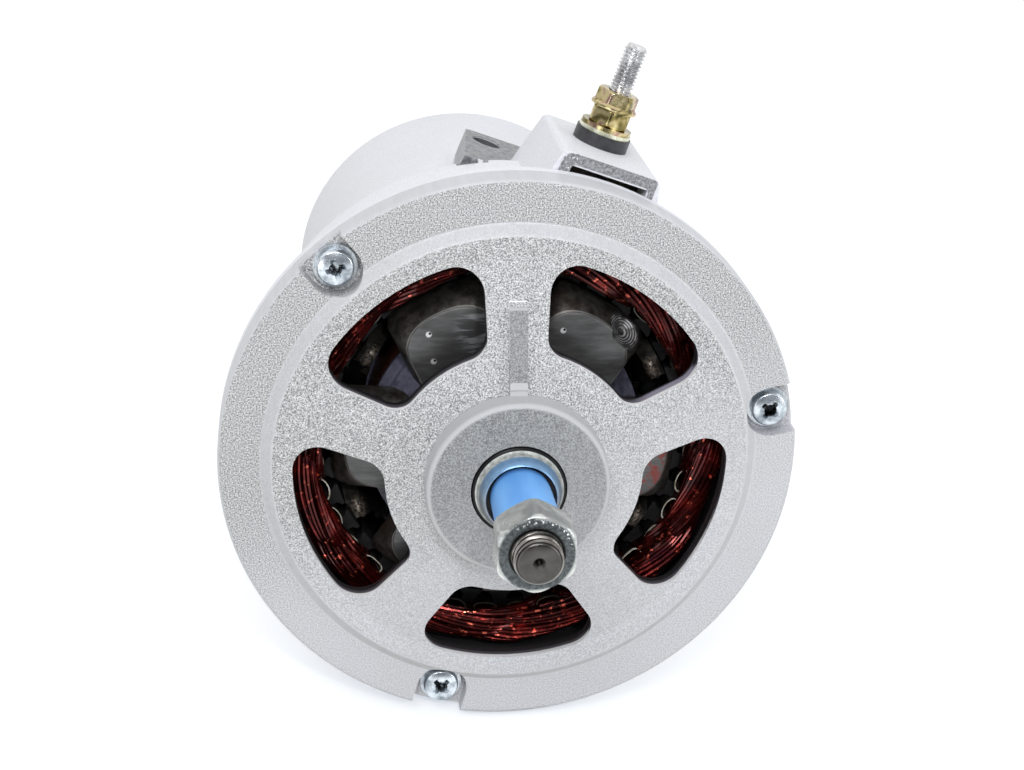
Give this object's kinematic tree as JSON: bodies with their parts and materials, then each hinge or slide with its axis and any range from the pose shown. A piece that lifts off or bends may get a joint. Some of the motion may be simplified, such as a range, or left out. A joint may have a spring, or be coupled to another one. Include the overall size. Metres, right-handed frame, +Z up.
{
  "type": "generator alternator head",
  "caption": "Round air-cooled car alternator with a windowed cast end shield, claw-pole rotor, stepped barrel housing and insulated output stud.",
  "frame": {"origin": "where the shaft axis crosses the flat front ring of the mounting flange", "axes": "the shaft lies on Y with its fan end toward -Y and its pulley end toward +Y; +Z is up"},
  "size_m": [0.1508, 0.2651, 0.1774],
  "materials": {
    "cast_shield": "satin",
    "cast_housing": "satin",
    "zinc_screw": "gloss",
    "zinc_washer": "gloss",
    "bearing_steel": "polished",
    "ball_steel": "polished",
    "cage_polymer": "matte",
    "plate_steel": "satin",
    "laminated_steel": "satin",
    "liner_film": "satin",
    "enamelled_copper": "gloss",
    "lead_insulation": "matte",
    "claw_steel": "satin",
    "bobbin_polymer": "matte",
    "coil_lacquer": "gloss",
    "hub_resin": "matte",
    "slip_copper": "polished",
    "shaft_steel": "satin",
    "sleeve_blue": "gloss",
    "collar_steel": "satin",
    "fan_nut_zinc": "gloss",
    "pulley_steel": "satin",
    "carbon_brush": "matte",
    "spring_steel": "polished",
    "holder_resin": "matte",
    "regulator_case": "matte",
    "sink_aluminium": "satin",
    "diode_can": "satin",
    "link_copper": "satin",
    "sink_insulator": "matte",
    "stud_steel": "gloss",
    "stud_insulator_black": "satin",
    "inner_insulator_black": "matte",
    "pale_zinc": "gloss",
    "yellow_zinc": "gloss",
    "terminal_resin": "matte",
    "blade_brass": "satin"
  },
  "bodies": {
    "casing": {"front_end_shield": "cast_shield", "housing": "cast_housing", "cover_screws": "zinc_screw", "cover_screw_washers": "zinc_washer", "front_bearing_outer_ring": "bearing_steel", "bearing_retainer_plate": "plate_steel", "retainer_screws": "zinc_screw", "rear_bearing_outer_ring": "bearing_steel", "stator_core": "laminated_steel", "slot_liners": "liner_film", "stator_windings": "enamelled_copper", "stator_leads": "lead_insulation", "brush_spring_a": "spring_steel", "brush_spring_b": "spring_steel", "brush_holder": "holder_resin", "brush_holder_screws": "zinc_screw", "regulator": "regulator_case", "earth_heat_sink": "sink_aluminium", "live_heat_sink": "sink_aluminium", "earth_diodes": "diode_can", "live_diodes": "diode_can", "diode_links": "link_copper", "heat_sink_spacers": "sink_insulator", "heat_sink_bolts": "zinc_screw", "output_lead": "lead_insulation", "stud_bolt": "stud_steel", "stud_inner_insulator": "inner_insulator_black", "stud_outer_insulator": "stud_insulator_black", "stud_pale_washer": "pale_zinc", "stud_yellow_washer": "yellow_zinc", "stud_lower_nut": "yellow_zinc", "stud_flange_nut": "yellow_zinc", "terminal_block": "terminal_resin", "terminal_blades": "blade_brass"},
    "rotor": {"rotor_shaft": "shaft_steel", "front_claw_pole": "claw_steel", "rear_claw_pole": "claw_steel", "field_bobbin": "bobbin_polymer", "field_coil": "coil_lacquer", "field_leads": "lead_insulation", "slip_ring_hub": "hub_resin", "slip_rings": "slip_copper", "front_bearing_inner_ring": "bearing_steel", "rear_bearing_inner_ring": "bearing_steel", "fan_seat_sleeve": "sleeve_blue", "fan_collar": "collar_steel", "fan_nut": "fan_nut_zinc", "pulley_spacer": "pulley_steel", "pulley_key": "pulley_steel", "pulley_nut": "fan_nut_zinc"},
    "front_balls": {"front_bearing_balls": "ball_steel", "front_bearing_cage": "cage_polymer"},
    "rear_balls": {"rear_bearing_balls": "ball_steel", "rear_bearing_cage": "cage_polymer"},
    "brush_a_body": {"brush_a": "carbon_brush"},
    "brush_b_body": {"brush_b": "carbon_brush"}
  },
  "joints": [
    {"name": "rotor_spin", "type": "hinge", "parent": "casing", "child": "rotor", "pos_m": [0, 0, 0], "axis": [0, 1, 0], "continuous": true},
    {"name": "front_ball_spin", "type": "hinge", "parent": "casing", "child": "front_balls", "pos_m": [0, -0.009, 0], "axis": [0, 1, 0], "continuous": true},
    {"name": "rear_ball_spin", "type": "hinge", "parent": "casing", "child": "rear_balls", "pos_m": [0, 0.156, 0], "axis": [0, 1, 0], "continuous": true},
    {"name": "brush_slide_a", "type": "slide", "parent": "casing", "child": "brush_a_body", "axis": [0, 0, 1], "range_m": [0, 0.004], "stiffness_N_per_m": 300, "springref_m": -0.01, "deforming": ["brush_spring_a"]},
    {"name": "brush_slide_b", "type": "slide", "parent": "casing", "child": "brush_b_body", "axis": [0, 0, 1], "range_m": [0, 0.004], "stiffness_N_per_m": 300, "springref_m": -0.01, "deforming": ["brush_spring_b"]}
  ],
  "couplings": [
    {"joint": "front_ball_spin", "follows": "rotor_spin", "ratio": 0.38},
    {"joint": "rear_ball_spin", "follows": "rotor_spin", "ratio": 0.38}
  ]
}
